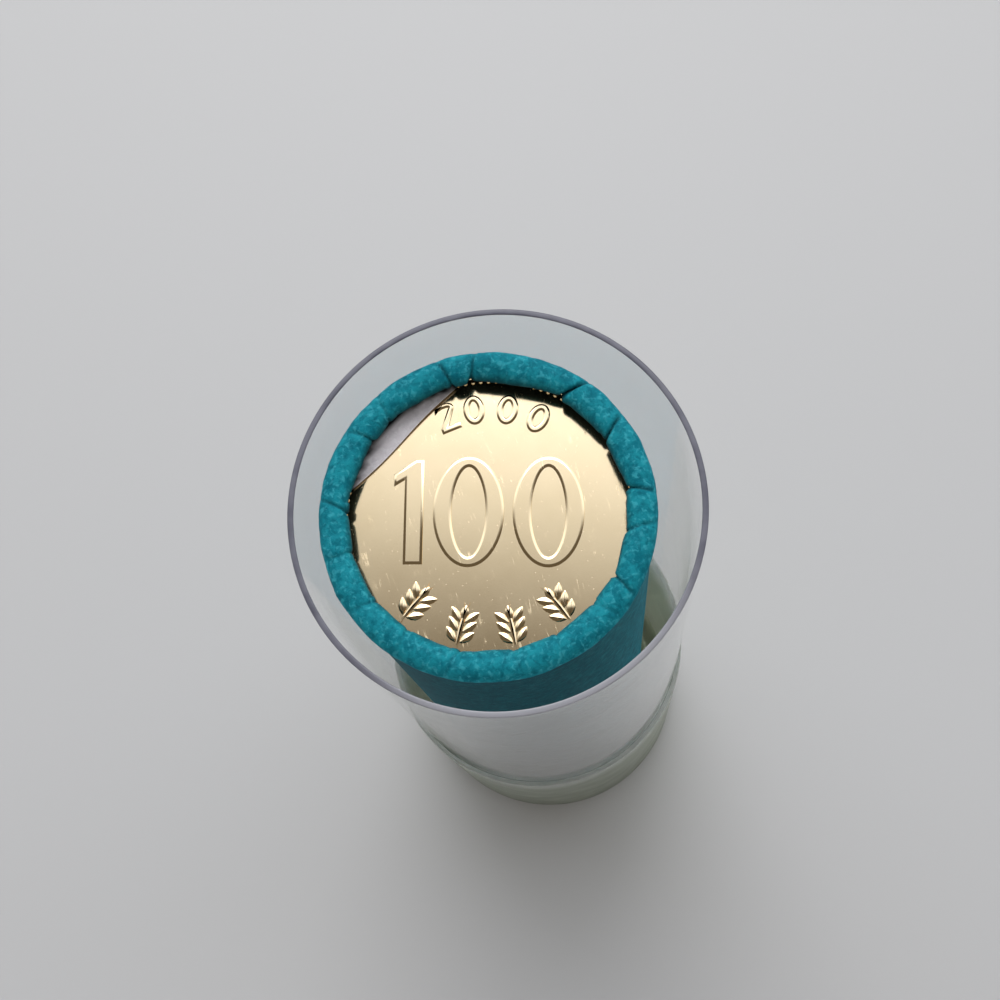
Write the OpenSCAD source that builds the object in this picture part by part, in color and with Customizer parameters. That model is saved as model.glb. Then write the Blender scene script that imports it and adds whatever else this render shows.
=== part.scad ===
// A paper-wrapped roll of coins standing in a clear tube on a push-on base cap.
// Z is up, the origin is the middle of the cap's foot, and all sizes are in millimetres.

/* [Coins] */
// Number of coins in the roll
coin_count = 50; // [10:1:50]
// Diameter of a coin
coin_d = 24; // [18:0.1:28]
// Thickness of a coin over its raised rims
coin_t = 1.66; // [1.2:0.02:2.4]
// Width of the raised rim round each face
coin_rim_w = 0.6; // [0.4:0.1:1.6]
// Depth of the field below the raised rim
coin_field_depth = 0.14; // [0.06:0.02:0.3]
// Rounding of the coin's outer edges
coin_edge_r = 0.2; // [0.1:0.05:0.4]
// Gap left between two coins that lie rim on rim
coin_gap = 0.01; // [0.01:0.01:0.05]

/* [Paper] */
// Thickness of the wrapping sheet
sheet_t = 0.13; // [0.08:0.01:0.2]
// Full turns of the sheet round the coins
wrap_turns = 3; // [2:1:4]
// Clearance between the coins and the paper
wrap_fit = 0.05; // [0.03:0.01:0.2]
// Angle over which the end of the sheet laps past its last full turn
lap_angle = 140; // [40:5:300]
// Direction of the sheet's outer edge, seen from above
lap_dir = 39; // [0:1:359]
// Width of the rolled bead that closes each end
bead_w = 2.3; // [1.4:0.1:3]
// Height of the bead
bead_h = 1.8; // [1.2:0.1:2.6]
// How far the bead stands out past the wound wall
bead_proud = 0.3; // [0:0.05:0.5]
// Depth of the flat that the lower bead stands on
bead_flat = 0.15; // [0.05:0.05:0.3]
// Gap between the lower bead and the coin that rests on it
bead_seat = 0.02; // [0.01:0.01:0.1]
// Gap between the top coin and the upper bead
top_gap = 0.45; // [0.02:0.01:1]
// Number of pleats pressed into each bead
pleat_count = 17; // [8:1:20]
// How far the pleats wander from an even spacing
pleat_wander = 4; // [0:1:7]
// Depth of a pleat's crease
crease_depth = 0.22; // [0.1:0.02:0.4]
// Width of a pleat's crease
crease_w = 0.14; // [0.08:0.02:0.3]
// Where a crease starts on the outer side of the bead's section
crease_from = 20; // [0:5:60]
// Where a crease ends on the inner side of the bead's section
crease_to = 170; // [120:5:200]

/* [Loose corner] */
// Direction of the sheet's loose inner corner, seen from above
corner_dir = 116; // [0:1:359]
// How far the corner reaches in past the bead
corner_reach = 1.25; // [1:0.05:4]
// Height of the corner above the end coin
corner_lift = 0.25; // [0.05:0.05:0.6]

/* [Tube] */
// Wall of the clear tube
tube_wall = 0.48; // [0.3:0.02:1.2]
// Room between the roll and the tube's wall, all round
roll_room = 2.2; // [0.5:0.05:4]
// Gap left on the side that the roll stands nearer to
roll_side_gap = 1.3; // [0.4:0.05:3]
// Direction in which the roll stands off the tube's axis
roll_lean_dir = 150; // [0:1:359]
// Height of the tube's rim above the top of the roll
mouth_gap = 2; // [1:0.1:6]
// Rounding of the tube's cut ends
tube_edge_r = 0.12; // [0.05:0.01:0.14]

/* [Base cap] */
// Thickness of the cap's floor
cap_floor = 1.2; // [0.8:0.1:3]
// Wall of the cap's skirt
cap_wall = 0.45; // [0.35:0.05:1.5]
// Height of the skirt above the floor
cap_skirt = 32; // [8:1:40]
// Clearance between the tube and the skirt
cap_fit = 0.05; // [0.03:0.01:0.1]
// Gap between the cap's floor and what stands on it
floor_seat = 0.05; // [0.02:0.01:0.2]
// Rounding of the cap's lower edge
cap_edge_r = 0.6; // [0.2:0.1:0.8]
// Width of the ring that the cap stands on
foot_w = 1.6; // [0.8:0.1:4]
// Depth of the hollow inside the foot ring
foot_hollow = 0.3; // [0.1:0.05:0.5]
// Lead-in at the mouth of the skirt
cap_lead = 0.25; // [0.1:0.05:0.3]

/* [Hidden] */
$fn = 96;
arc_steps = 8;
bead_steps = 24;

// Stack of coins
coin_pitch = coin_t + coin_gap;
stack_l = coin_count * coin_t + (coin_count - 1) * coin_gap;

// Paper round the stack
wrap_ir = coin_d / 2 + wrap_fit;
wrap_or = wrap_ir + wrap_turns * sheet_t;
roll_r = wrap_or + max(sheet_t, bead_proud);
bead_mid_r = wrap_or + bead_proud - bead_w / 2;
bead_in_r = wrap_or + bead_proud - bead_w;
bead_meet = acos(1 - 2 * bead_proud / bead_w);

// Heights, from the foot up
floor_z = cap_floor + floor_seat;
stack_z = floor_z + bead_h - bead_flat + bead_seat;
stack_top = stack_z + stack_l;
roll_top = stack_top + top_gap + bead_h;
rim_z = roll_top + mouth_gap;
low_bead_z = stack_z - bead_seat - bead_h / 2;
high_bead_z = stack_top + top_gap + bead_h / 2;

// Tube and cap
tube_ir = roll_r + roll_room;
tube_or = tube_ir + tube_wall;
roll_lean = max(0, roll_room - roll_side_gap);
cap_ir = tube_or + cap_fit;
cap_or = cap_ir + cap_wall;
cap_top = cap_floor + cap_skirt;

COINS = [for (i = [1 : coin_count]) str("coin_", i < 10 ? "0" : "", i)];

// Points along an arc about a centre, with a half-width and a half-height
function arc(c, a, b, from, to, steps) =
    [for (k = [0 : steps]) let (t = from + (to - from) * k / steps) c + [a * cos(t), b * sin(t)]];

// Direction of one pleat, a little off its even place
function pleat_dir(i) = 360 * i / pleat_count + pleat_wander * sin(137.5 * i);

// Section of a coin: field, raised rim and rounded edge, alike on both faces
module coin_section() {
    field_z = coin_t / 2 - coin_field_depth;
    rim_r = coin_d / 2 - coin_rim_w;
    slope_r = rim_r - coin_field_depth;
    edge = [coin_d / 2 - coin_edge_r, coin_t / 2 - coin_edge_r];
    polygon(concat(
        [[0, -field_z], [slope_r, -field_z], [rim_r, -coin_t / 2]],
        arc([edge.x, -edge.y], coin_edge_r, coin_edge_r, -90, 0, arc_steps),
        arc(edge, coin_edge_r, coin_edge_r, 0, 90, arc_steps),
        [[rim_r, coin_t / 2], [slope_r, field_z], [0, field_z]]
    ));
}

module coin(i) {
    color("khaki")
    on_roll_axis()
    translate([0, 0, stack_z + (i - 1) * coin_pitch + coin_t / 2])
    rotate_extrude()
    coin_section();
}

// The roll stands a little off the tube's axis
module on_roll_axis() {
    rotate(roll_lean_dir) translate([roll_lean, 0, 0]) rotate(-roll_lean_dir) children();
}

// Section of the wound sheet with a bead rolled in over each end coin
module wrap_section() {
    half = [bead_w / 2, bead_h / 2];
    polygon(concat(
        arc([bead_mid_r, high_bead_z], half.x, half.y, -bead_meet, 270, bead_steps),
        [[wrap_ir, high_bead_z - half.y], [wrap_ir, low_bead_z + half.y]],
        arc([bead_mid_r, low_bead_z], half.x, half.y, 90, 360 + bead_meet, bead_steps)
    ));
}

// The pleats leave a many-sided mouth inside the bead
module bead_mouth() {
    corner_r = bead_in_r / cos(180 / pleat_count) + crease_depth / 2;
    linear_extrude(bead_h * 2, center = true)
    polygon([for (i = [0 : pleat_count - 1]) corner_r * [cos(pleat_dir(i)), sin(pleat_dir(i))]]);
}

// One crease runs over the bead from its inner to its outer side
module bead_crease() {
    outer = [bead_w / 2 + crease_depth, bead_h / 2 + crease_depth];
    inner = [bead_w / 2 - crease_depth, bead_h / 2 - crease_depth];
    translate([bead_mid_r, 0, 0])
    rotate([90, 0, 0])
    linear_extrude(crease_w, center = true)
    polygon(concat(
        arc([0, 0], outer.x, outer.y, crease_from, crease_to, arc_steps),
        arc([0, 0], inner.x, inner.y, crease_to, crease_from, arc_steps)
    ));
}

module bead_pleats() {
    bead_mouth();
    for (i = [0 : pleat_count - 1])
        rotate(pleat_dir(i)) bead_crease();
}

// The end of the sheet laps past its last full turn and shows as a step down the side
module lap() {
    rotate(lap_dir)
    rotate_extrude(angle = lap_angle)
    translate([wrap_or - sheet_t / 2, low_bead_z])
    square([sheet_t * 1.5, high_bead_z - low_bead_z]);
}

// A corner of the sheet that slipped out from under the upper bead
module loose_corner() {
    edge_r = bead_in_r - corner_reach;
    tuck_r = wrap_ir + sheet_t;
    color("lavender")
    translate([0, 0, stack_top + corner_lift])
    intersection() {
        cylinder(r = tuck_r, h = sheet_t);
        rotate(corner_dir) translate([edge_r, -tuck_r, -sheet_t]) cube([tuck_r, 2 * tuck_r, 3 * sheet_t]);
    }
}

module paper_wrap() {
    color("darkcyan")
    on_roll_axis()
    union() {
        difference() {
            union() {
                rotate_extrude() wrap_section();
                lap();
            }
            translate([0, 0, high_bead_z]) bead_pleats();
            translate([0, 0, low_bead_z]) mirror([0, 0, 1]) bead_pleats();
            cylinder(r = roll_r + sheet_t, h = floor_z);
        }
        loose_corner();
    }
}

module clear_tube() {
    wall_mid = (tube_ir + tube_or) / 2;
    flat = tube_wall / 2 - tube_edge_r;
    color([0.88, 0.93, 0.95, 0.35])
    rotate_extrude()
    polygon(concat(
        arc([wall_mid + flat, floor_z + tube_edge_r], tube_edge_r, tube_edge_r, -90, 0, arc_steps),
        arc([wall_mid + flat, rim_z - tube_edge_r], tube_edge_r, tube_edge_r, 0, 90, arc_steps),
        arc([wall_mid - flat, rim_z - tube_edge_r], tube_edge_r, tube_edge_r, 90, 180, arc_steps),
        arc([wall_mid - flat, floor_z + tube_edge_r], tube_edge_r, tube_edge_r, 180, 270, arc_steps)
    ));
}

module base_cap() {
    foot_out = cap_or - cap_edge_r;
    foot_in = foot_out - foot_w;
    color([0.62, 0.66, 0.55, 0.7])
    rotate_extrude()
    polygon(concat(
        [[0, foot_hollow], [foot_in - foot_hollow, foot_hollow], [foot_in, 0]],
        arc([foot_out, cap_edge_r], cap_edge_r, cap_edge_r, -90, 0, arc_steps),
        [[cap_or, cap_top], [cap_ir + cap_lead, cap_top], [cap_ir, cap_top - cap_lead]],
        [[cap_ir, cap_floor], [0, cap_floor]]
    ));
}

base_cap();
clear_tube();
paper_wrap();
for (i = [1 : coin_count])
    coin(i);
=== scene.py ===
# %% [markdown]
# # A roll of coins in a clear tube
#
# A bank roll is a stack of fifty coins, wound tightly in a strip of coloured paper whose two ends are rolled
# in to a bead over the last coin. This one stands in a thin clear tube, and the tube stands in a push-on cap.
# The solids are already packed as a frame, and it is loaded first: each piece made here takes its place
# from that frame, rides on one of its bodies, and stands for the plain solid that it dresses.

# %% Load the frame
import math

import bmesh
import bpy
from mathutils import Matrix, Vector, noise


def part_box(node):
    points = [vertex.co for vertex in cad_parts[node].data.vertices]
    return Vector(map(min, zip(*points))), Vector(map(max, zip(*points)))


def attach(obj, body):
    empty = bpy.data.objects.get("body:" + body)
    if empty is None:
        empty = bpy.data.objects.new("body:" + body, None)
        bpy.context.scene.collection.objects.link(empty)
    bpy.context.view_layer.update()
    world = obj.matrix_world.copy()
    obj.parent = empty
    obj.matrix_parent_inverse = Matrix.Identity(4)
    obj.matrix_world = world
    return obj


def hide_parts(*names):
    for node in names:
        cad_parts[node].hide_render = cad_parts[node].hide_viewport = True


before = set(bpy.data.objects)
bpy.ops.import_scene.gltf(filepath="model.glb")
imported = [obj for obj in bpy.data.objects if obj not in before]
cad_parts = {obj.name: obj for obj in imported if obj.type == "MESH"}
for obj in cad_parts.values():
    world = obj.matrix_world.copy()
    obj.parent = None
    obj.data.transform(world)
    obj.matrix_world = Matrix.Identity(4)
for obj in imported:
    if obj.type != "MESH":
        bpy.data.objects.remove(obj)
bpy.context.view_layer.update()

MM = 0.001

# %% [markdown]
# ## What the frame measures
#
# The box of a node gives its place. The tube's box has the rim that the camera looks at, and the boxes of the
# first and the last coin have the axis of the roll, which leans a little to one side of the tube, and the two
# ends of the stack. Taking sizes from the boxes means that a change in the solids moves the looks with it.

# %% Measure the nodes
tube_low, tube_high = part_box("clear_tube")
cap_low, cap_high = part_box("base_cap")
coin_low, coin_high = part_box("coin_50")
paper_low, paper_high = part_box("paper_wrap")
tube_r = (tube_high.x - tube_low.x) / 2
cap_r = (cap_high.x - cap_low.x) / 2
coin_r = (coin_high.x - coin_low.x) / 2
coin_t = coin_high.z - coin_low.z
rim_centre = Vector((0, 0, tube_high.z))
roll_axis = Vector(((coin_low.x + coin_high.x) / 2, (coin_low.y + coin_high.y) / 2, 0))
stack_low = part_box("coin_01")[0].z
stack_top = coin_high.z
print(f"tube radius {tube_r / MM:.2f} mm, coin radius {coin_r / MM:.2f} mm,",
      f"stack {(stack_top - stack_low) / MM:.1f} mm")

# %% [markdown]
# ## The camera
#
# The picture looks steeply down into the tube, from close by, and it is turned a little about its own line
# of sight. The lens and the distance come from how fast the round edges shrink from the rim to the foot.
# The camera stands on the -Y side, so that a turn of the picture is a plain roll about the line of sight.

# %% Place the camera
FOCAL_PIXELS = 1468
PICTURE_PIXELS = 1000
SENSOR_WIDTH = 36
RIM_PIXEL = (495.7, 505.9)
LOOK_DOWN = math.radians(74.38)
PICTURE_TURN = math.radians(16.89)
CAMERA_DISTANCE = 106.95 * MM

lens = bpy.data.cameras.new("camera")
lens.sensor_width = SENSOR_WIDTH
lens.lens = FOCAL_PIXELS / PICTURE_PIXELS * SENSOR_WIDTH
lens.clip_start = 1 * MM
lens.shift_x = 0.5 - RIM_PIXEL[0] / PICTURE_PIXELS
lens.shift_y = RIM_PIXEL[1] / PICTURE_PIXELS - 0.5
camera = bpy.data.objects.new("camera", lens)
bpy.context.scene.collection.objects.link(camera)
bpy.context.scene.camera = camera

back = Vector((0, -math.cos(LOOK_DOWN), math.sin(LOOK_DOWN)))
right = Vector((1, 0, 0))
stand = Matrix((right, back.cross(right), back)).transposed().to_4x4()
turn = Matrix.Rotation(-PICTURE_TURN, 4, "Z")
camera.matrix_world = Matrix.Translation(rim_centre + back * CAMERA_DISTANCE) @ stand @ turn
print("camera at", [round(x / MM, 1) for x in camera.matrix_world.translation], "mm")

# %% [markdown]
# ## Small helpers for materials
#
# A material here is a small graph of nodes. One helper adds a node and takes its inputs by name: a socket is
# linked, and a number or a colour is set in place. The others cover steps that come back often: mixing two
# colours, arithmetic, stretching a value from one range to another, and measuring how far a place lies in one
# direction. Patterns read Object coordinates, which are in metres, so a scale of 1000 is one per millimetre.

# %% Node helpers
PER_MM = 1 / MM
UP = (0, 0, 1)
MIX_COLOUR_INPUTS = (0, 6, 7)
MIX_COLOUR_OUTPUT = 2


def feed(tree, socket, value):
    """Link an input to another node's output, or set it to a plain value."""
    if isinstance(value, bpy.types.NodeSocket):
        tree.links.new(value, socket)
    else:
        socket.default_value = value


def node(tree, kind, settings=None, **inputs):
    """Add a shader node, with its settings and its inputs by name."""
    made = tree.nodes.new("ShaderNode" + kind)
    for name, value in (settings or {}).items():
        setattr(made, name, value)
    for name, value in inputs.items():
        feed(tree, made.inputs[name.replace("_", " ")], value)
    return made


def noise_of(tree, place, per_mm, **inputs):
    """The value of a noise with a number of waves in each millimetre."""
    return node(tree, "TexNoise", Vector=place, Scale=per_mm * PER_MM, **inputs).outputs[0]


def mixed(tree, share, first, second):
    """Mix two colours. The Mix node has sockets for every type, so its colours are found by number."""
    made = node(tree, "Mix", {"data_type": "RGBA"})
    for index, value in zip(MIX_COLOUR_INPUTS, (share, first, second)):
        feed(tree, made.inputs[index], value)
    return made.outputs[MIX_COLOUR_OUTPUT]


def math_of(tree, operation, first, second=0.5):
    """One step of arithmetic on two values, each a socket or a number."""
    made = node(tree, "Math", {"operation": operation})
    feed(tree, made.inputs[0], first)
    feed(tree, made.inputs[1], second)
    return made.outputs[0]


def spread(tree, value, low, high, to_low=0.0, to_high=1.0):
    """Stretch a value from one range to another, with soft ends."""
    return node(tree, "MapRange", {"interpolation_type": "SMOOTHSTEP"}, Value=value,
                From_Min=low, From_Max=high, To_Min=to_low, To_Max=to_high).outputs[0]


def along(tree, vector, direction):
    """How far a vector reaches in one direction."""
    made = node(tree, "VectorMath", {"operation": "DOT_PRODUCT"})
    feed(tree, made.inputs[0], vector)
    feed(tree, made.inputs[1], direction)
    return made.outputs["Value"]


def new_material(name, **inputs):
    """A material with a Principled surface, and the plain inputs of that surface by name."""
    material = bpy.data.materials.new(name)
    material.use_nodes = True
    surface = material.node_tree.nodes["Principled BSDF"]
    for input_name, value in inputs.items():
        surface.inputs[input_name.replace("_", " ")].default_value = value
    return material, material.node_tree, surface


def opaque(red, green, blue):
    return (red, green, blue, 1.0)


# %% [markdown]
# ## Stage and light
#
# The floor is one pale sheet. The light comes from behind: overhead, the room fades from bright on the far
# side to dim on the near side, and one broad lamp stands behind the object. Satin metal mirrors that room, so
# the far half of the coin is bright, the near half is toned, and the near side of each raised shape is dark.
# Low down the room is white, a little dimmer on the near side: views from the side see it behind the floor.

# %% Floor and lamp
FLOOR_SIZE = 24.0
FLOOR_COLOUR = opaque(0.55, 0.55, 0.55)
FLOOR_ROUGHNESS = 0.55
LAMP_PLACE = Vector((0.1, 0.5, 0.6))
LAMP_SIZE = 0.6
LAMP_WATTS = 2.6

floor_build = bmesh.new()
bmesh.ops.create_grid(floor_build, x_segments=1, y_segments=1, size=FLOOR_SIZE / 2)
floor_mesh = bpy.data.meshes.new("floor")
floor_build.to_mesh(floor_mesh)
floor_build.free()
floor = bpy.data.objects.new("floor", floor_mesh)
bpy.context.scene.collection.objects.link(floor)
floor_mesh.materials.append(new_material("floor_sheet", Base_Color=FLOOR_COLOUR, Roughness=FLOOR_ROUGHNESS)[0])

lamp_data = bpy.data.lights.new("lamp", "AREA")
lamp_data.shape = "DISK"
lamp_data.size = LAMP_SIZE
lamp_data.energy = LAMP_WATTS
lamp = bpy.data.objects.new("lamp", lamp_data)
lamp.location = LAMP_PLACE
lamp.rotation_euler = (rim_centre - LAMP_PLACE).to_track_quat("-Z", "Y").to_euler()
bpy.context.scene.collection.objects.link(lamp)
bpy.context.scene.view_settings.view_transform = "Standard"
print("lamp", LAMP_WATTS, "W at", tuple(LAMP_PLACE))

# %% Room
LIGHT_SIDE = (0.34, 0.94, 0)
LOW_NEAR_TONE = opaque(0.85, 0.85, 0.85)
LOW_FAR_TONE = opaque(1.0, 1.0, 1.0)
LOW_FADE = (-0.5, 0.5)
NEAR_TONE = opaque(0.13, 0.11, 0.085)
FAR_TONE = opaque(1.47, 1.52, 1.64)
FADE = (0.115, 0.365)
OVERHEAD = (0.42, 0.7)

world = bpy.data.worlds.new("room")
world.use_nodes = True
bpy.context.scene.world = world
tree = world.node_tree
direction = node(tree, "TexCoord").outputs["Generated"]
towards = along(tree, direction, LIGHT_SIDE)
above = mixed(tree, spread(tree, towards, *FADE), NEAR_TONE, FAR_TONE)
low = mixed(tree, spread(tree, towards, *LOW_FADE), LOW_NEAR_TONE, LOW_FAR_TONE)
room = mixed(tree, spread(tree, along(tree, direction, UP), *OVERHEAD), low, above)
tree.links.new(room, tree.nodes["Background"].inputs["Color"])
print("room from", NEAR_TONE[:3], "to", FAR_TONE[:3])

# %% [markdown]
# ## Small helpers for shapes
#
# Nearly every piece here is round, so an outline of radius and height is spun round an axis. A spin slows
# down with every step, so only one sector is spun and the rest are copies of it. The doubled seams are merged
# and the faces are turned outwards before the mesh leaves the workbench. Next to a rounded edge, a flat wall
# has a guard ring of vertices, which keeps it flat under smooth shading. A finished piece stays at the origin,
# with its place in its mesh, as the nodes of the frame do.

# %% Shape helpers
SECTORS = 16
SEAM_GAP = 0.0001 * MM
GUARD = 0.1 * MM


def arc(centre, half_width, half_height, start, end, steps):
    """Points of radius and height along an arc, with its angles in degrees."""
    angles = [math.radians(start + (end - start) * k / steps) for k in range(steps + 1)]
    return [(centre[0] + half_width * math.cos(a), centre[1] + half_height * math.sin(a)) for a in angles]


def lathe(outline, steps, axis=Vector()):
    """Spin a closed outline round an upright axis: one sector in steps, and the others as copies of it."""
    shape = bmesh.new()
    ring = [shape.verts.new((axis.x + radius, axis.y, height)) for radius, height in outline]
    edges = [shape.edges.new(pair) for pair in zip(ring, ring[1:] + ring[:1])]
    about = {"cent": axis, "axis": UP}
    sector = math.tau / SECTORS
    bmesh.ops.spin(shape, geom=ring + edges, angle=sector, steps=steps // SECTORS, **about)
    whole = shape.verts[:] + shape.edges[:] + shape.faces[:]
    bmesh.ops.spin(shape, geom=whole, angle=math.tau - sector, steps=SECTORS - 1, use_duplicate=True, **about)
    bmesh.ops.remove_doubles(shape, verts=shape.verts, dist=SEAM_GAP)
    bmesh.ops.recalc_face_normals(shape, faces=shape.faces)
    return shape


def finished(name, shape, materials, body, slot, *nodes):
    """Make a piece of a shape: give it its finish, its body and the nodes that it stands for."""
    mesh = bpy.data.meshes.new(name)
    shape.to_mesh(mesh)
    shape.free()
    for material in materials:
        mesh.materials.append(material)
    piece = bpy.data.objects.new(name, mesh)
    bpy.context.scene.collection.objects.link(piece)
    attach(piece, body)
    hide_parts(*nodes)
    print(f"{name}: {len(mesh.polygons)} faces on {body}")
    return piece


def smooth_but(piece, sharp_degrees):
    """Shade smooth, and keep edges sharper than an angle crisp."""
    piece.data.shade_smooth()
    piece.data.set_sharp_from_angle(angle=math.radians(sharp_degrees))


# %% [markdown]
# ## Marks of handling
#
# Coins and clear plastic pick up the same things: fine scratches, specks and a faint unevenness of gloss.
# That is one node group, placed in each material with its own sizes. Scratches are the thin lines where a
# stretched noise crosses its middle value, kept only where a second noise is high, so that they stay short.

# %% Group for scratches and specks
SCRATCH_LAYERS = ((0.5, 0.0), (1.9, 3.0), (2.7, 7.0))
SCRATCH_STRETCH = (1, 0.06, 0.3)
SCRATCH_WIDTH = 0.008
SCRATCH_KEPT = (0.5, 0.75)
SPECK_KEPT = (0.68, 0.78)


def handling_marks():
    group = bpy.data.node_groups.new("handling_marks", "ShaderNodeTree")
    for name, start in (("Scratch Scale", 400.0), ("Speck Scale", 900.0)):
        group.interface.new_socket(name, in_out="INPUT", socket_type="NodeSocketFloat").default_value = start
    for name in ("Scratch", "Speck", "Cloud"):
        group.interface.new_socket(name, in_out="OUTPUT", socket_type="NodeSocketFloat")
    given = group.nodes.new("NodeGroupInput")
    put = group.nodes.new("NodeGroupOutput")
    place = node(group, "TexCoord").outputs["Object"]
    lines = 0.0
    for turn_z, offset in SCRATCH_LAYERS:
        placed = node(group, "Mapping", Vector=place, Location=(offset, 0, 0), Rotation=(0, 0, turn_z),
                      Scale=SCRATCH_STRETCH).outputs[0]
        wave = node(group, "TexNoise", Vector=placed, Scale=given.outputs["Scratch Scale"], Detail=1.0).outputs[0]
        off_middle = math_of(group, "ABSOLUTE", math_of(group, "SUBTRACT", wave, 0.5))
        lines = math_of(group, "MAXIMUM", lines, spread(group, off_middle, 0.0, SCRATCH_WIDTH, 1.0, 0.0))
    kept = spread(group, noise_of(group, place, 0.8, Detail=3.0), *SCRATCH_KEPT)
    group.links.new(math_of(group, "MULTIPLY", lines, kept), put.inputs["Scratch"])
    specks = node(group, "TexNoise", Vector=place, Scale=given.outputs["Speck Scale"], Detail=2.0).outputs[0]
    group.links.new(spread(group, specks, *SPECK_KEPT), put.inputs["Speck"])
    group.links.new(noise_of(group, place, 0.25, Detail=3.0), put.inputs["Cloud"])
    return group


def place_group(tree, group, **inputs):
    """Place a node group in a material, set its inputs by name, and give its outputs."""
    made = node(tree, "Group", {"node_tree": group}, **inputs)
    return made.outputs


marks_group = handling_marks()
print("group", marks_group.name, "with", len(marks_group.nodes), "nodes")

# %% [markdown]
# ## The clear tube
#
# The tube is drawn from clear plastic, half a millimetre thick, and cut square. It could be a cylinder with
# Solidify, but a closed outline spun round the axis gives the true wall with its rounded ends. The wall has
# faint draw lines along its length and slow waves. Thin plastic looks clear square on and milky at a slant,
# more so on the side where it is scuffed. The cut rim has a dark streaked grey of painted shade, and a paler
# painted light on its near side. Alpha holds the milkiness: it lets some of the light straight through, and
# light that bends beside it would show things twice. So the wall has a low index, which hardly bends light,
# and its shine comes from a clear coat.

# %% Clear plastic
CLEAR_TINT = opaque(0.97, 0.98, 1.0)
CLEARNESS = 0.8
CLEAR_INDEX = 1.1
GLOSS_ROUGHNESS = 0.04
SCRATCH_ROUGHNESS = 0.12
SLANT = (0.1, 0.65)
SLANT_ALPHA = (0.12, 1.0)
SCUFFED_SIDE = (0.2, -0.98, 0)
SCUFFED = (4 * MM, 13 * MM)
SCUFFED_ALPHA = (0.2, 0.9)
DRAWN_STRETCH = (1, 1, 0.02)


def lets_lamps_through(material, tree, surface, tint):
    """Let the rays that test for shadow pass, so that lamps reach what is behind a clear wall."""
    rays = node(tree, "LightPath")
    passing = node(tree, "BsdfTransparent", Color=tint)
    either = node(tree, "MixShader", Fac=rays.outputs["Is Shadow Ray"])
    tree.links.new(surface.outputs[0], either.inputs[1])
    tree.links.new(passing.outputs[0], either.inputs[2])
    tree.links.new(either.outputs[0], tree.nodes["Material Output"].inputs["Surface"])
    return material


def clear_plastic():
    material, tree, surface = new_material(
        "clear_plastic", Base_Color=CLEAR_TINT, Transmission_Weight=CLEARNESS, IOR=CLEAR_INDEX,
        Coat_Weight=1.0, Coat_Roughness=GLOSS_ROUGHNESS)
    marks = place_group(tree, marks_group, Scratch_Scale=300.0, Speck_Scale=700.0)
    dulled = math_of(tree, "MULTIPLY", marks["Scratch"], SCRATCH_ROUGHNESS)
    tree.links.new(math_of(tree, "ADD", dulled, GLOSS_ROUGHNESS), surface.inputs["Roughness"])
    place = node(tree, "TexCoord").outputs["Object"]
    milky = spread(tree, node(tree, "LayerWeight").outputs["Facing"], *SLANT, *SLANT_ALPHA)
    scuffed = spread(tree, along(tree, place, SCUFFED_SIDE), *SCUFFED, *SCUFFED_ALPHA)
    tree.links.new(math_of(tree, "MULTIPLY", milky, scuffed), surface.inputs["Alpha"])
    drawn = node(tree, "Mapping", Vector=place, Scale=DRAWN_STRETCH).outputs[0]
    lines = node(tree, "Bump", Strength=0.06, Distance=0.05 * MM, Height=noise_of(tree, drawn, 0.9, Detail=2.0))
    wavy = node(tree, "Bump", Strength=0.25, Distance=0.4 * MM, Height=noise_of(tree, place, 0.22, Detail=1.0),
                Normal=lines.outputs[0])
    tree.links.new(wavy.outputs[0], surface.inputs["Normal"])
    return lets_lamps_through(material, tree, surface, CLEAR_TINT)


# %% Cut rim
# The rim's dark streaked tones are painted shade, and its near side takes a paler painted light.
RIM_PAINTED_SHADES = (opaque(0.09, 0.09, 0.12), opaque(0.14, 0.14, 0.175))
RIM_PAINTED_LIGHT = opaque(0.3, 0.3, 0.33)
RIM_NEAR = (-14 * MM, -7 * MM)
RIM_STREAKS = (0.3, 0.7)
RIM_ROUGHNESS = (0.3, 0.45)


def cut_rim():
    material, tree, surface = new_material("cut_rim")
    place = node(tree, "TexCoord").outputs["Object"]
    streaks = noise_of(tree, place, 0.6, Detail=2.0)
    dark = mixed(tree, spread(tree, streaks, *RIM_STREAKS), *RIM_PAINTED_SHADES)
    # Painted light on the near side of the rim, over the painted shade.
    away = spread(tree, along(tree, place, (0, 1, 0)), *RIM_NEAR)
    tree.links.new(mixed(tree, away, RIM_PAINTED_LIGHT, dark), surface.inputs["Base Color"])
    tree.links.new(spread(tree, streaks, *RIM_STREAKS, *RIM_ROUGHNESS), surface.inputs["Roughness"])
    return material


# %% Spin the tube
TUBE_WALL = 0.48 * MM
TUBE_EDGE = 0.12 * MM
TUBE_EDGE_STEPS = 4
TUBE_STEPS = 256


def tube_corner(radius, height, start):
    """One rounded corner of the tube's wall, a quarter turn from a start in degrees."""
    return arc((radius, height), TUBE_EDGE, TUBE_EDGE, start, start + 90, TUBE_EDGE_STEPS)


outer_mid, inner_mid = tube_r - TUBE_EDGE, tube_r - TUBE_WALL + TUBE_EDGE
low_z, high_z = tube_low.z + TUBE_EDGE, tube_high.z - TUBE_EDGE
tube_outline = tube_corner(outer_mid, low_z, 270)
tube_outline += [(tube_r, low_z + GUARD), (tube_r, high_z - GUARD)]
tube_outline += tube_corner(outer_mid, high_z, 0) + tube_corner(inner_mid, high_z, 90)
tube_outline += [(tube_r - TUBE_WALL, high_z - GUARD), (tube_r - TUBE_WALL, low_z + GUARD)]
tube_outline += tube_corner(inner_mid, low_z, 180)
tube_shape = lathe(tube_outline, TUBE_STEPS)
for face in tube_shape.faces:
    face.material_index = 1 if face.calc_center_median().z > tube_high.z - TUBE_EDGE / 2 else 0
tube = finished("tube_wall", tube_shape, [clear_plastic(), cut_rim()], "tube", "clear_plastic", "clear_tube")
smooth_but(tube, 60)

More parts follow.
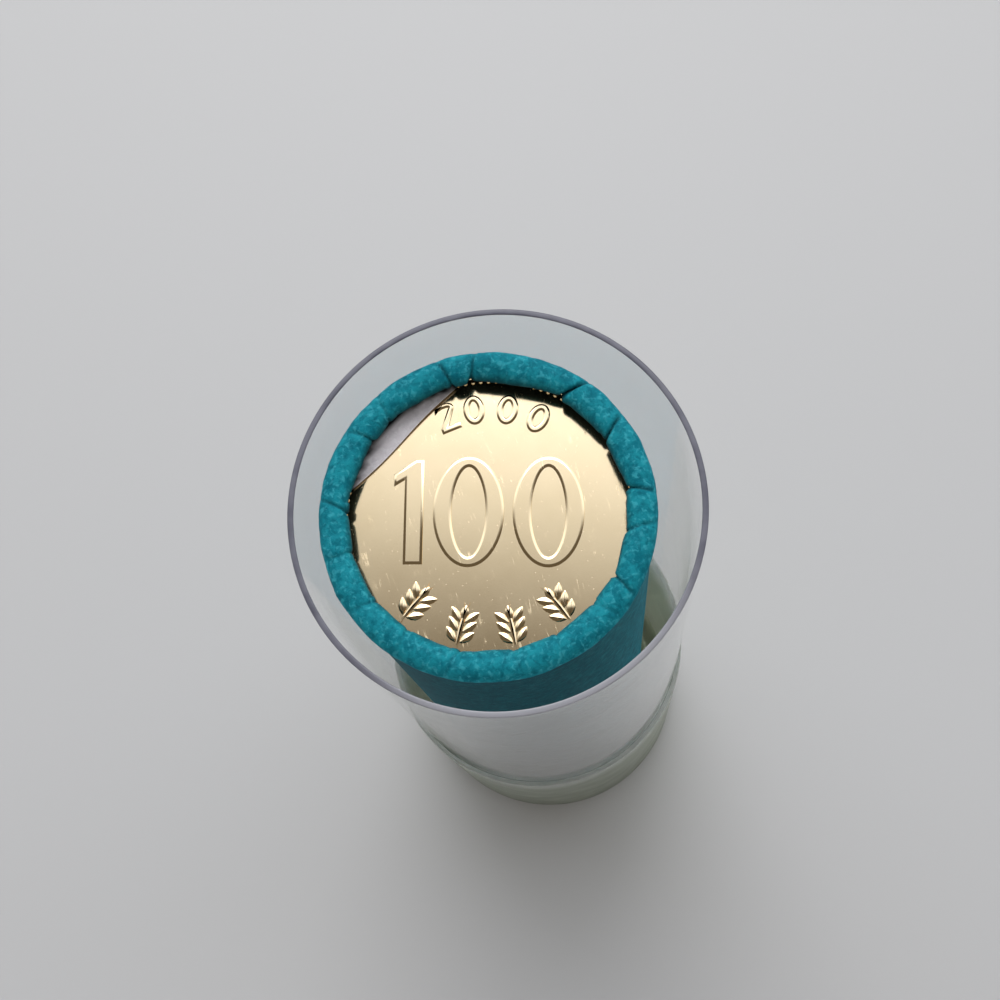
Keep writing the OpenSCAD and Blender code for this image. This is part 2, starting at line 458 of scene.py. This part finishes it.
# %% [markdown]
# ## The base cap
#
# The cap is moulded from a cloudy plastic with a faint olive cast, paler towards the mouth of its skirt. From
# a steep angle it shows only as a green crescent at the foot. It passes light but scatters it, so its finish
# is mostly a rough glass. It is spun too, with a rounded lower edge, a foot ring with a shallow hollow inside
# it, and a small lead-in at the mouth of its skirt.

# %% Olive plastic
OLIVE_TONES = (opaque(0.50, 0.54, 0.43), opaque(0.58, 0.62, 0.51))
OLIVE_SHADOW = opaque(0.45, 0.48, 0.4)
SKIRT_TONE = opaque(0.95, 0.96, 0.93)
SKIRT_PALES = (26 * MM, 33 * MM)
OLIVE_CLOUD = (0.2, 0.8)
OLIVE_ROUGHNESS = (0.35, 0.5)


def olive_plastic():
    material, tree, surface = new_material(
        "olive_plastic", IOR=1.5, Transmission_Weight=0.9, Specular_IOR_Level=0.25)
    marks = place_group(tree, marks_group, Scratch_Scale=250.0, Speck_Scale=500.0)
    tint = mixed(tree, marks["Cloud"], *OLIVE_TONES)
    height = along(tree, node(tree, "TexCoord").outputs["Object"], UP)
    tree.links.new(mixed(tree, spread(tree, height, *SKIRT_PALES), tint, SKIRT_TONE), surface.inputs["Base Color"])
    tree.links.new(spread(tree, marks["Cloud"], *OLIVE_CLOUD, *OLIVE_ROUGHNESS), surface.inputs["Roughness"])
    return lets_lamps_through(material, tree, surface, OLIVE_SHADOW)


# %% Spin the cap
CAP_WALL = 0.45 * MM
CAP_FLOOR = 1.2 * MM
CAP_EDGE = 0.6 * MM
CAP_EDGE_STEPS = 6
CAP_LEAD = 0.25 * MM
FOOT_RING = 1.6 * MM
FOOT_HOLLOW = 0.3 * MM

cap_in = cap_r - CAP_WALL
cap_top = cap_high.z
foot_out = cap_r - CAP_EDGE
cap_outline = [(0, FOOT_HOLLOW), (foot_out - FOOT_RING - FOOT_HOLLOW, FOOT_HOLLOW), (foot_out - FOOT_RING, 0)]
cap_outline += arc((foot_out, CAP_EDGE), CAP_EDGE, CAP_EDGE, -90, 0, CAP_EDGE_STEPS)
cap_outline += [(cap_r, CAP_EDGE + GUARD), (cap_r, cap_top)]
cap_outline += [(cap_in + CAP_LEAD, cap_top), (cap_in, cap_top - CAP_LEAD)]
cap_outline += [(cap_in, CAP_FLOOR), (0, CAP_FLOOR)]
cap_shape = lathe(cap_outline, TUBE_STEPS)
cap = finished("cap_body", cap_shape, [olive_plastic()], "base", "olive_plastic", "base_cap")
smooth_but(cap, 35)

# %% [markdown]
# ## Paper
#
# The wrapper is a dyed kraft-like paper: teal, a little mottled, with paler and darker flecks of fibre in it.
# A fleck is where a fine noise is high. The same group serves the coloured outside of the sheet and its pale
# inner face, which shows at one loose corner. Paper that lies in shade gets a painted shade: a dark tone mixed
# into its colour, with a value stored at each vertex that says how much of that painted shade it takes.

# %% Group for paper fibres
FLECK_LAYERS = ((2.2, 0.0), (1.7, 5.0))
FLECK_KEPT = (0.5, 0.68)


def paper_fibres():
    group = bpy.data.node_groups.new("paper_fibres", "ShaderNodeTree")
    for name in ("Pale", "Dark", "Cloud", "Height"):
        group.interface.new_socket(name, in_out="OUTPUT", socket_type="NodeSocketFloat")
    put = group.nodes.new("NodeGroupOutput")
    place = node(group, "TexCoord").outputs["Object"]
    flecks = []
    for per_mm, offset in FLECK_LAYERS:
        moved = node(group, "Mapping", Vector=place, Location=(offset, offset, offset)).outputs[0]
        fine = noise_of(group, moved, per_mm, Detail=4.0, Distortion=0.5)
        flecks.append(spread(group, fine, *FLECK_KEPT))
    cloud = noise_of(group, place, 1.0, Detail=6.0, Roughness=0.7)
    tooth = noise_of(group, place, 5.0, Detail=3.0)
    height = math_of(group, "ADD", math_of(group, "MULTIPLY", flecks[0], 0.5), tooth)
    group.links.new(flecks[0], put.inputs["Pale"])
    group.links.new(flecks[1], put.inputs["Dark"])
    group.links.new(cloud, put.inputs["Cloud"])
    group.links.new(math_of(group, "ADD", height, cloud), put.inputs["Height"])
    return group


# %% Two papers
MOTTLE = (0.34, 0.66)
PALE_SHARE = 0.6
DARK_SHARE = 0.5

fibre_group = paper_fibres()


def paper(name, low_tone, high_tone, pale_fleck, dark_fleck, painted_shade_tone):
    material, tree, surface = new_material(name, Roughness=0.6, Specular_IOR_Level=0.05)
    fibres = place_group(tree, fibre_group)
    tone = mixed(tree, spread(tree, fibres["Cloud"], *MOTTLE), low_tone, high_tone)
    tone = mixed(tree, math_of(tree, "MULTIPLY", fibres["Pale"], PALE_SHARE), tone, pale_fleck)
    tone = mixed(tree, math_of(tree, "MULTIPLY", fibres["Dark"], DARK_SHARE), tone, dark_fleck)
    # The value stored at each vertex mixes the painted shade tone into the colour.
    painted_shade = node(tree, "Attribute", {"attribute_name": "painted_shade"}).outputs["Fac"]
    tree.links.new(mixed(tree, painted_shade, tone, painted_shade_tone), surface.inputs["Base Color"])
    bump = node(tree, "Bump", Strength=0.5, Distance=0.06 * MM, Height=fibres["Height"])
    tree.links.new(bump.outputs[0], surface.inputs["Normal"])
    return material


# The last colour of each paper is its painted shade tone.
teal_paper = paper("teal_paper", opaque(0.004, 0.15, 0.20), opaque(0.012, 0.26, 0.32),
                   opaque(0.05, 0.40, 0.48), opaque(0.0, 0.09, 0.13), opaque(0.006, 0.014, 0.018))
pale_paper = paper("pale_paper", opaque(0.74, 0.70, 0.73), opaque(0.82, 0.78, 0.81),
                   opaque(0.88, 0.86, 0.88), opaque(0.64, 0.61, 0.64), opaque(0.015, 0.02, 0.022))
print("papers:", teal_paper.name, pale_paper.name)

# %% [markdown]
# ## The wrapper
#
# The wrapper is one sheet wound round the stack. At each end the crimping tool rolls it in to a soft bead,
# and the paper that has to fit in a smaller circle gathers in pleats. Its section, a wall with a bead at each
# end, is spun first with many steps. The pleats are then pressed into the beads by moving vertices: each pleat
# climbs over the next one, its crease cuts in, and between creases the mouth of the bead runs straighter.

# %% Section of the wrapper
SHEET = 0.13 * MM
WRAP_FIT = 0.05 * MM
WRAP_TURNS = 3
BEAD_WIDTH = 2.3 * MM
BEAD_HEIGHT = 1.8 * MM
BEAD_PROUD = 0.3 * MM
BEAD_SEAT = 0.02 * MM
WRAP_STEPS = 640
BEAD_STEPS = 36
WALL_STEPS = 40

wrap_in = coin_r + WRAP_FIT
wrap_out = wrap_in + WRAP_TURNS * SHEET
half_width, half_height = BEAD_WIDTH / 2, BEAD_HEIGHT / 2
bead_mid = wrap_out + BEAD_PROUD - half_width
bead_high = paper_high.z - half_height
bead_low = stack_low - BEAD_SEAT - half_height
meet = math.degrees(math.acos(1 - BEAD_PROUD / half_width))

wrap_outline = arc((bead_mid, bead_high), half_width, half_height, -meet, 270, BEAD_STEPS)
wrap_outline += [(wrap_in, bead_high - half_height), (wrap_in, bead_low + half_height)]
wrap_outline += arc((bead_mid, bead_low), half_width, half_height, 90, 360 + meet, BEAD_STEPS)
wall_low, wall_high = wrap_outline[-1][1] + GUARD, wrap_outline[0][1] - GUARD
wall_step = (wall_high - wall_low) / WALL_STEPS
wrap_outline += [(wrap_out, wall_low + wall_step * k) for k in range(WALL_STEPS + 1)]
wrap_shape = lathe(wrap_outline, WRAP_STEPS, roll_axis)
print("wrapper starts with", len(wrap_shape.verts), "vertices")

# %% [markdown]
# The creases are listed as directions in the picture, each with how strongly it is pressed and how
# far it leans as it runs over the bead. A direction in the picture is the direction on the part plus the turn
# of the picture. A place on the bead is a direction and an angle round the bead's section: 0 is its outside,
# 90 its top and 180 its mouth. Between two creases the paper puffs up, and one side of a crease lies higher.

# %% Pleats
CREASES = [
    (8, 0.9, 3), (34.6, 1.2, -4), (55.4, 1.6, 5), (96, 0.8, 2), (107, 0.9, -3), (134, 0.4, 3),
    (148, 0.5, -3), (177, 0.7, 4), (197, 0.3, -2), (218, 0.3, 2), (238, 0.25, -3), (258, 0.25, 3),
    (282, 0.25, -2), (298, 0.25, 2), (320, 0.3, -3), (331, 0.9, 3), (354, 0.6, -4),
]
BEAD_TOP = 90
LEAN_OVER = 150
CREASE_DEPTH = 0.28 * MM
CREASE_WIDTH = 0.8
# A crease also takes painted shade, which these set.
CREASE_SHADE_WIDTH = 0.6
CREASE_SHADE = 0.6
CREASE_SHADE_MOST = 0.85
CREASE_SHADE_STARTS = (0, 60)
STEP_HEIGHT = 0.11 * MM
PUFF = 0.06 * MM
MOUTH_SHARE = 0.6
PRESS_STARTS = (-10, 75)
PRESS_ENDS = (235, 265)
LUMP = 0.09 * MM
LUMP_SIZE = 2.4 * MM
CRUMPLE = 0.035 * MM
CRUMPLE_SIZE = 0.7 * MM


def smoothstep(low, high, value):
    share = min(1.0, max(0.0, (value - low) / (high - low)))
    return share * share * (3 - 2 * share)


def past_crease(direction, section, crease, lean):
    """How many degrees a place lies past a crease that leans."""
    return (direction - crease - lean * (section - BEAD_TOP) / LEAN_OVER) % 360


def crease_profile(across, width):
    """1 in the middle of a crease, falling to 0 on both sides."""
    return math.exp(-((min(across, 360 - across) / width) ** 2))


def pleat_at(direction, section):
    """How far the bead swells at a place, both angles in degrees."""
    pressed = smoothstep(*PRESS_STARTS, section) * (1 - smoothstep(*PRESS_ENDS, section))
    inward = max(0.0, -math.cos(math.radians(section)))
    swell = 0.0
    for index, (crease, strength, lean) in enumerate(CREASES):
        following = CREASES[(index + 1) % len(CREASES)][0]
        width = (following - crease) % 360
        across = past_crease(direction, section, crease, lean)
        swell -= strength * CREASE_DEPTH * crease_profile(across, CREASE_WIDTH)
        if across < width:
            share = across / width
            swell += strength * STEP_HEIGHT * share ** 2 + PUFF * 4 * share * (1 - share)
            half = math.radians(width / 2)
            chord = math.cos(half) / math.cos(math.radians(across) - half)
            swell -= MOUTH_SHARE * inward * (chord - math.cos(half)) * (bead_mid - half_width)
    return swell * pressed


def crease_at(direction, section):
    """How much painted shade a crease puts on a place on the bead, from 0 to 1."""
    deepest = max(strength * crease_profile(past_crease(direction, section, crease, lean), CREASE_SHADE_WIDTH)
                  for crease, strength, lean in CREASES)
    return min(CREASE_SHADE_MOST, CREASE_SHADE * deepest) * smoothstep(*CREASE_SHADE_STARTS, section)


def crumple_at(place):
    return LUMP * noise.noise(place / LUMP_SIZE) + CRUMPLE * noise.noise(place / CRUMPLE_SIZE)


# %% [markdown]
# Each vertex of the spun wrapper is on a bead, on the outside of the wall or on its inside. A bead's vertices
# lie on its oval, so its equation finds them: they move along the line from the middle of the bead. The
# outside of the wall takes one more layer of the sheet where the lap covers it. Each vertex also keeps how much
# painted shade it takes: the inside of the wall and the inner underside of a bead fully, the outer underside
# of a bead and a crease partly, and the outside of the wall a little, more so on the near side, away from the
# light, and most of all next to a bead.

# %% Press the pleats
ON_OVAL = 0.01
LOWER_SIDE = 300
LOOSE_TO = 20
# Painted shade: under a bead's mouth and its outer edge, over the outside wall, more on its near side, and most
# just under a bead.
MOUTH_SHADE_ENDS = (130, 208)
OUTER_SHADE_ENDS = (-10, 40)
OUTER_SHADE = 0.8
LAP_START = 39
LAP_ANGLE = 140
WALL_SHADE = 0.35
NEAR_SHADE = 0.35
NEAR_SHADE_ENDS = (15 * MM, 85 * MM)
NEAR_SIDE = Vector((-0.35, -0.94, 0))
NEAR_SPREAD = (0.2, 1.0)
BEAD_SHADE_ENDS = (0.6 * MM, 3 * MM)


def shape_wrapper(shape):
    painted_shade = shape.verts.layers.float.new("painted_shade")
    for vertex in shape.verts:
        # Painted shade in full by default, which the inside of the wall keeps.
        vertex[painted_shade] = 1.0
        out = vertex.co - roll_axis
        radius = math.hypot(out.x, out.y)
        outward = Vector((out.x / radius, out.y / radius, 0))
        direction = math.degrees(math.atan2(out.y, out.x))
        upper = out.z > (stack_low + stack_top) / 2
        past_end = (out.z - bead_high) if upper else (bead_low - out.z)
        oval_share = math.hypot((radius - bead_mid) / half_width, past_end / half_height)
        if abs(oval_share - 1) < ON_OVAL:
            in_picture = (direction + math.degrees(PICTURE_TURN)) % 360
            section = math.degrees(math.atan2(past_end, radius - bead_mid)) % 360
            section -= 360 if section > LOWER_SIDE else 0
            loose = smoothstep(-meet, LOOSE_TO, section) * (1 - smoothstep(*PRESS_ENDS, section))
            swell = pleat_at(in_picture, section) + loose * crumple_at(vertex.co)
            from_middle = outward * (radius - bead_mid) + Vector((0, 0, past_end if upper else -past_end))
            vertex.co += from_middle.normalized() * swell
            vertex.co.z = max(vertex.co.z, paper_low.z)
            # Painted shade on the bead: under its mouth, under its outer edge and in its creases.
            inner_dark = smoothstep(*MOUTH_SHADE_ENDS, section)
            outer_dark = OUTER_SHADE * smoothstep(*OUTER_SHADE_ENDS, -section)
            vertex[painted_shade] = max(inner_dark, outer_dark, crease_at(in_picture, section))
        elif radius > wrap_out - SHEET / 2:
            lapped = (direction - LAP_START) % 360 < LAP_ANGLE
            vertex.co += outward * (SHEET if lapped else 0)
            # Painted shade on the outside wall: a little all round, more on the near side and most just under a
            # bead.
            near = smoothstep(*NEAR_SPREAD, outward.dot(NEAR_SIDE))
            near *= 1 - smoothstep(*NEAR_SHADE_ENDS, bead_high - out.z)
            shade = WALL_SHADE + NEAR_SHADE * near
            vertex[painted_shade] = 1 - (1 - shade) * smoothstep(*BEAD_SHADE_ENDS, -past_end)


shape_wrapper(wrap_shape)
wrapper = finished("paper_wrapper", wrap_shape, [teal_paper], "roll", "teal_paper", "paper_wrap")
smooth_but(wrapper, 50)

# %% [markdown]
# ## The loose corner
#
# One inner corner of the sheet slipped out from under the bead, and shows the pale inner face of the paper.
# A round disc is cut by an upright plane to leave only the corner, more cuts give it rows of vertices, and
# its free edge is bent down and waved. Solidify's operator then gives it the thickness of the sheet.

# %% Cut the corner
CORNER_DIRECTION = math.radians(136) - PICTURE_TURN
CORNER_EDGE = 9.13 * MM
CORNER_LIFT = 0.28 * MM
# Painted shade where the corner runs in under the bead.
CORNER_SHADE = (10.35 * MM, 10.7 * MM)
CORNER_SEGMENTS = 160
CORNER_ROWS = 16
CORNER_COLUMNS = 5
ROW_GAP = 0.4 * MM

corner_out = Vector((math.cos(CORNER_DIRECTION), math.sin(CORNER_DIRECTION), 0))
along_edge = Vector((-corner_out.y, corner_out.x, 0))
corner_shape = bmesh.new()
corner_level = Vector((0, 0, stack_top + CORNER_LIFT))
flat = Matrix.Translation(roll_axis + corner_level)
bmesh.ops.create_circle(corner_shape, cap_ends=True, segments=CORNER_SEGMENTS, radius=bead_mid, matrix=flat)


def cut_corner(place, normal, clear=False):
    everything = corner_shape.verts[:] + corner_shape.edges[:] + corner_shape.faces[:]
    bmesh.ops.bisect_plane(corner_shape, geom=everything, plane_co=place, plane_no=normal, clear_inner=clear)


cut_at = roll_axis + corner_out * CORNER_EDGE + corner_level
cut_corner(cut_at, corner_out, clear=True)
for row in range(-CORNER_ROWS, CORNER_ROWS + 1):
    cut_corner(cut_at + along_edge * row * ROW_GAP, along_edge)
for column in range(1, CORNER_COLUMNS + 1):
    cut_corner(cut_at + corner_out * column * ROW_GAP, corner_out)

# %% Bend and thicken the corner
CORNER_BEND = 1.6 * MM
CORNER_CURL = -0.17 * MM
CURL_WAVE = 2.2 * MM
CURL_START = 0.8
EDGE_WAVE = 1.7 * MM
EDGE_SWING = 0.1 * MM

painted_shade = corner_shape.verts.layers.float.new("painted_shade")
for vertex in corner_shape.verts:
    place = vertex.co - roll_axis
    # The corner takes painted shade where it runs in under the bead.
    vertex[painted_shade] = smoothstep(*CORNER_SHADE, math.hypot(place.x, place.y))
    sideways = place.dot(along_edge)
    free = 1 - smoothstep(0, CORNER_BEND, place.dot(corner_out) - CORNER_EDGE)
    vertex.co.z += CORNER_CURL * free * (0.6 + 0.4 * math.sin(sideways / CURL_WAVE + CURL_START))
    vertex.co -= corner_out * free * EDGE_SWING * math.sin(sideways / EDGE_WAVE)
bmesh.ops.recalc_face_normals(corner_shape, faces=corner_shape.faces)
bmesh.ops.solidify(corner_shape, geom=corner_shape.faces[:], thickness=SHEET)
corner = finished("paper_corner", corner_shape, [pale_paper], "roll", "teal_paper")
smooth_but(corner, 50)

# %% [markdown]
# ## Coin metal
#
# The coins are a pale brass with a soft shine. A scratch or a speck scatters light, so it is rough rather than
# dark: it shows pale where the metal mirrors the dim side of the room. The shared group of marks gives both.

# %% Brass
BRASS_TONES = (opaque(0.87, 0.70, 0.435), opaque(0.90, 0.73, 0.465))
BRASS_MOTTLE = (0.3, 0.7)
BRASS_CLOUD = (0.25, 0.75)
BRASS_ROUGHNESS = (0.1, 0.13)
BRASS_SCRATCH = 0.3
BRASS_SPECK = 0.25


def coin_metal():
    material, tree, surface = new_material("coin_metal", Metallic=1.0)
    marks = place_group(tree, marks_group, Scratch_Scale=700.0, Speck_Scale=5000.0)
    tone = mixed(tree, spread(tree, marks["Cloud"], *BRASS_MOTTLE), *BRASS_TONES)
    tree.links.new(tone, surface.inputs["Base Color"])
    rough = spread(tree, marks["Cloud"], *BRASS_CLOUD, *BRASS_ROUGHNESS)
    rough = math_of(tree, "ADD", rough, math_of(tree, "MULTIPLY", marks["Scratch"], BRASS_SCRATCH))
    rough = math_of(tree, "ADD", rough, math_of(tree, "MULTIPLY", marks["Speck"], BRASS_SPECK))
    tree.links.new(rough, surface.inputs["Roughness"])
    grain = noise_of(tree, node(tree, "TexCoord").outputs["Object"], 6.0, Detail=3.0)
    height = math_of(tree, "SUBTRACT", math_of(tree, "MULTIPLY", grain, 0.5), marks["Scratch"])
    bump = node(tree, "Bump", Strength=0.05, Distance=0.01 * MM, Height=height)
    tree.links.new(bump.outputs[0], surface.inputs["Normal"])
    return material


brass = coin_metal()
coins = [solid for name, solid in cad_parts.items() if name.startswith("coin_")]
for solid in coins:
    solid.data.materials.clear()
    solid.data.materials.append(brass)
print("coins:", len(coins))

# %% [markdown]
# ## The struck faces
#
# Only the two end coins show a face. The blank is spun, and the relief stands on its field: a beaded border
# inside the rim, a large plain number, a small plain number above it and four leaf sprigs below. A raised
# shape could be extruded and beveled, but a die leaves a wider, softer shoulder. So a flat face is inset step
# by step, and each step climbs less than the one before. The last inset in a number doesn't climb, which keeps
# its top flat under smooth shading.

# %% Blank and raised shapes
FIELD_DEPTH = 0.14 * MM
RIM_WIDTH = 0.6 * MM
COIN_EDGE = 0.2 * MM
COIN_EDGE_STEPS = 5
COIN_STEPS = 192
SUNK = 0.05 * MM
FIELD_RING = 0.025 * MM
field_z = coin_t / 2 - FIELD_DEPTH


def blank():
    """A coin about its own middle, with a raised rim on both faces."""
    slope = coin_r - RIM_WIDTH - FIELD_DEPTH
    edge_mid = (coin_r - COIN_EDGE, coin_t / 2 - COIN_EDGE)
    upper = arc(edge_mid, COIN_EDGE, COIN_EDGE, 0, 90, COIN_EDGE_STEPS)
    upper += [(coin_r - RIM_WIDTH, coin_t / 2), (slope, field_z), (slope - FIELD_RING, field_z), (0, field_z)]
    return lathe([(radius, -height) for radius, height in reversed(upper)] + upper, COIN_STEPS)


def raise_faces(shape, faces, climb):
    """Raise flat faces above the field as one closed block. Each step is an inset and a rise, in millimetres."""
    grown = bmesh.ops.extrude_face_region(shape, geom=faces, use_keep_orig=True)["geom"]
    top = [part for part in grown if isinstance(part, bmesh.types.BMFace)]

    def lift(rise):
        bmesh.ops.translate(shape, verts=list({v for face in top for v in face.verts}), vec=(0, 0, rise))

    lift(SUNK)
    for inward, rise in climb:
        bmesh.ops.inset_region(shape, faces=top, thickness=inward * MM, use_even_offset=True)
        lift(rise * MM)


def oval(shape, width, height, segments, point=0.0):
    """A flat oval ring of vertices just under the field, drawn in towards its two ends."""
    grow = Matrix.Diagonal((width / 2, height / 2, 1, 1))
    ring = bmesh.ops.create_circle(shape, cap_ends=False, segments=segments, radius=1, matrix=grow)["verts"]
    for vertex in ring:
        vertex.co.x *= 1 - point * (2 * vertex.co.y / height) ** 2
    bmesh.ops.translate(shape, verts=ring, vec=(0, 0, field_z - SUNK))
    return ring


# %% Large number
NUMBER_CLIMB = [(0.02, 0.06), (0.08, 0.035), (0.1, 0.02), (0.03, 0)]
ZERO_SIZE = (5.46 * MM, 8.65 * MM)
ZERO_COUNTER = (2.6 * MM, 7.05 * MM)
ZERO_CENTRES = [(-1.56 * MM, 0.54 * MM), (4.53 * MM, 0.48 * MM)]
ZERO_SEGMENTS = 64
COUNTER_POINT = 0.1
ONE_OUTLINE = [(-6.5, -3.54), (-5.0, -3.54), (-5.0, 4.67), (-5.65, 4.67), (-7.34, 3.53), (-7.32, 2.57),
               (-6.5, 3.08)]


def zero(shape, size, counter, climb, place):
    """A zero is a ring between two ovals."""
    rings = [oval(shape, *size, ZERO_SEGMENTS), oval(shape, *counter, ZERO_SEGMENTS, COUNTER_POINT)]
    bmesh.ops.transform(shape, matrix=place, verts=rings[0] + rings[1])
    edges = {edge for ring in rings for vertex in ring for edge in vertex.link_edges}
    raise_faces(shape, bmesh.ops.bridge_loops(shape, edges=list(edges))["faces"], climb)


def large_one(shape):
    corners = [shape.verts.new((x * MM, y * MM, field_z - SUNK)) for x, y in ONE_OUTLINE]
    raise_faces(shape, [shape.faces.new(corners)], NUMBER_CLIMB)


# %% Small number
SMALL_DIRECTIONS = (112.3, 98.2, 81.1, 64.8)
SMALL_RADIUS = 8.76 * MM
SMALL_ZERO = (1.68 * MM, 2.42 * MM)
SMALL_COUNTER = (0.64 * MM, 1.36 * MM)
SMALL_CLIMB = [(0.02, 0.06), (0.09, 0.038), (0.05, 0.015), (0.02, 0)]
TWO_BOWL = (0.8 * MM, 0.52 * MM)
TWO_SWEEP = (175, -35, 12)
TWO_STROKE = 0.45 * MM
TWO_TOP = 1.2 * MM
TWO_KNEE = -0.12 * MM


def small_two(shape, place):
    """A two is a bowl that runs on as a slanted stroke into a flat foot."""
    wide, tall = TWO_BOWL
    middle = (0, TWO_TOP - tall)
    foot_low, foot_high = -TWO_TOP, TWO_STROKE - TWO_TOP
    outer = arc(middle, wide, tall, *TWO_SWEEP)
    outer += [(TWO_KNEE, foot_high), (wide, foot_high), (wide, foot_low)]
    inner = arc(middle, wide - TWO_STROKE, tall - TWO_STROKE, *TWO_SWEEP)
    inner += [(-wide, foot_high), (-wide, foot_low)]
    ring = [shape.verts.new((x, y, field_z - SUNK)) for x, y in outer + inner[::-1]]
    bmesh.ops.transform(shape, matrix=place, verts=ring)
    raise_faces(shape, [shape.faces.new(ring)], SMALL_CLIMB)


def small_number(shape):
    """A plain two and three zeros, each upright on an arc over the large number."""
    for index, direction in enumerate(SMALL_DIRECTIONS):
        round_to = Matrix.Rotation(math.radians(direction - 90), 4, "Z")
        place = round_to @ Matrix.Translation((0, SMALL_RADIUS, 0))
        if index == 0:
            small_two(shape, place)
        else:
            zero(shape, SMALL_ZERO, SMALL_COUNTER, SMALL_CLIMB, place)


# %% Sprigs
SPRIG_DIRECTIONS = (-129.8, -103.3, -77.6, -51.8)
SPRIG_RADIUS = 8.76 * MM
SPRIG_SIZE = 1.2
LEAF_CLIMB = [(0.02, 0.05), (0.06, 0.03), (0.06, 0.02)]
LEAF_SEGMENTS = 12
LEAF_POINT = 0.55
STEM = (2.5 * MM, 0.34 * MM)
TIP_LEAF = (1.0 * MM, 0.56 * MM)
TIP_HEIGHT = 1.3 * MM
SIDE_LEAF = (1.15 * MM, 0.56 * MM)
SIDE_HEIGHTS = (-0.5 * MM, 0.3 * MM, 1.05 * MM)
SIDE_REACH = 0.62 * MM
SIDE_TURN = 0.75


def leaf(shape, place, length, width):
    ring = oval(shape, width * SPRIG_SIZE, length * SPRIG_SIZE, LEAF_SEGMENTS, LEAF_POINT)
    bmesh.ops.transform(shape, matrix=place, verts=ring)
    raise_faces(shape, [shape.faces.new(ring)], LEAF_CLIMB)


def sprig(shape, direction):
    """A stem with three pairs of leaves and one at its tip, set on the arc under the large number."""
    base = Matrix.Rotation(math.radians(direction + 90), 4, "Z") @ Matrix.Translation((0, -SPRIG_RADIUS, 0))
    leaf(shape, base, *STEM)
    leaf(shape, base @ Matrix.Translation((0, TIP_HEIGHT, 0)), *TIP_LEAF)
    for height in SIDE_HEIGHTS:
        for side in (-1, 1):
            reach = Matrix.Translation((side * SIDE_REACH, height, 0))
            leaf(shape, base @ reach @ Matrix.Rotation(-side * SIDE_TURN, 4, "Z"), *SIDE_LEAF)


# %% Border
BORDER_BEADS = 115
BORDER_RADIUS = 10.98 * MM
BORDER_BEAD = 0.18 * MM


def border(shape):
    """A row of small beads inside the rim: one ball, copied round by a spin."""
    place = Matrix.Translation((BORDER_RADIUS, 0, field_z))
    ball = bmesh.ops.create_uvsphere(shape, u_segments=8, v_segments=6, radius=BORDER_BEAD, matrix=place)
    parts = set(ball["verts"])
    for vertex in ball["verts"]:
        parts.update(vertex.link_edges, vertex.link_faces)
    copies = BORDER_BEADS - 1
    bmesh.ops.spin(shape, geom=list(parts), cent=(0, 0, 0), axis=UP, use_duplicate=True,
                   angle=math.tau * copies / BORDER_BEADS, steps=copies)


# %% Strike both end coins
struck = blank()
border(struck)
for x, y in ZERO_CENTRES:
    zero(struck, ZERO_SIZE, ZERO_COUNTER, NUMBER_CLIMB, Matrix.Translation((x, y, 0)))
large_one(struck)
small_number(struck)
for direction in SPRIG_DIRECTIONS:
    sprig(struck, direction)
bmesh.ops.recalc_face_normals(struck, faces=struck.faces)


def end_coin(name, node_name, turned):
    """Set a copy of the struck coin in the place of an end coin of the stack."""
    low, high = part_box(node_name)
    shape = struck.copy()
    place = Matrix.Translation((low + high) / 2) @ turned @ Matrix.Rotation(-PICTURE_TURN, 4, "Z")
    bmesh.ops.transform(shape, matrix=place, verts=shape.verts)
    smooth_but(finished(name, shape, [brass], "roll", "coin_metal", node_name), 40)


end_coin("top_coin", "coin_50", Matrix.Identity(4))
end_coin("bottom_coin", "coin_01", Matrix.Rotation(math.pi, 4, "X"))
struck.free()
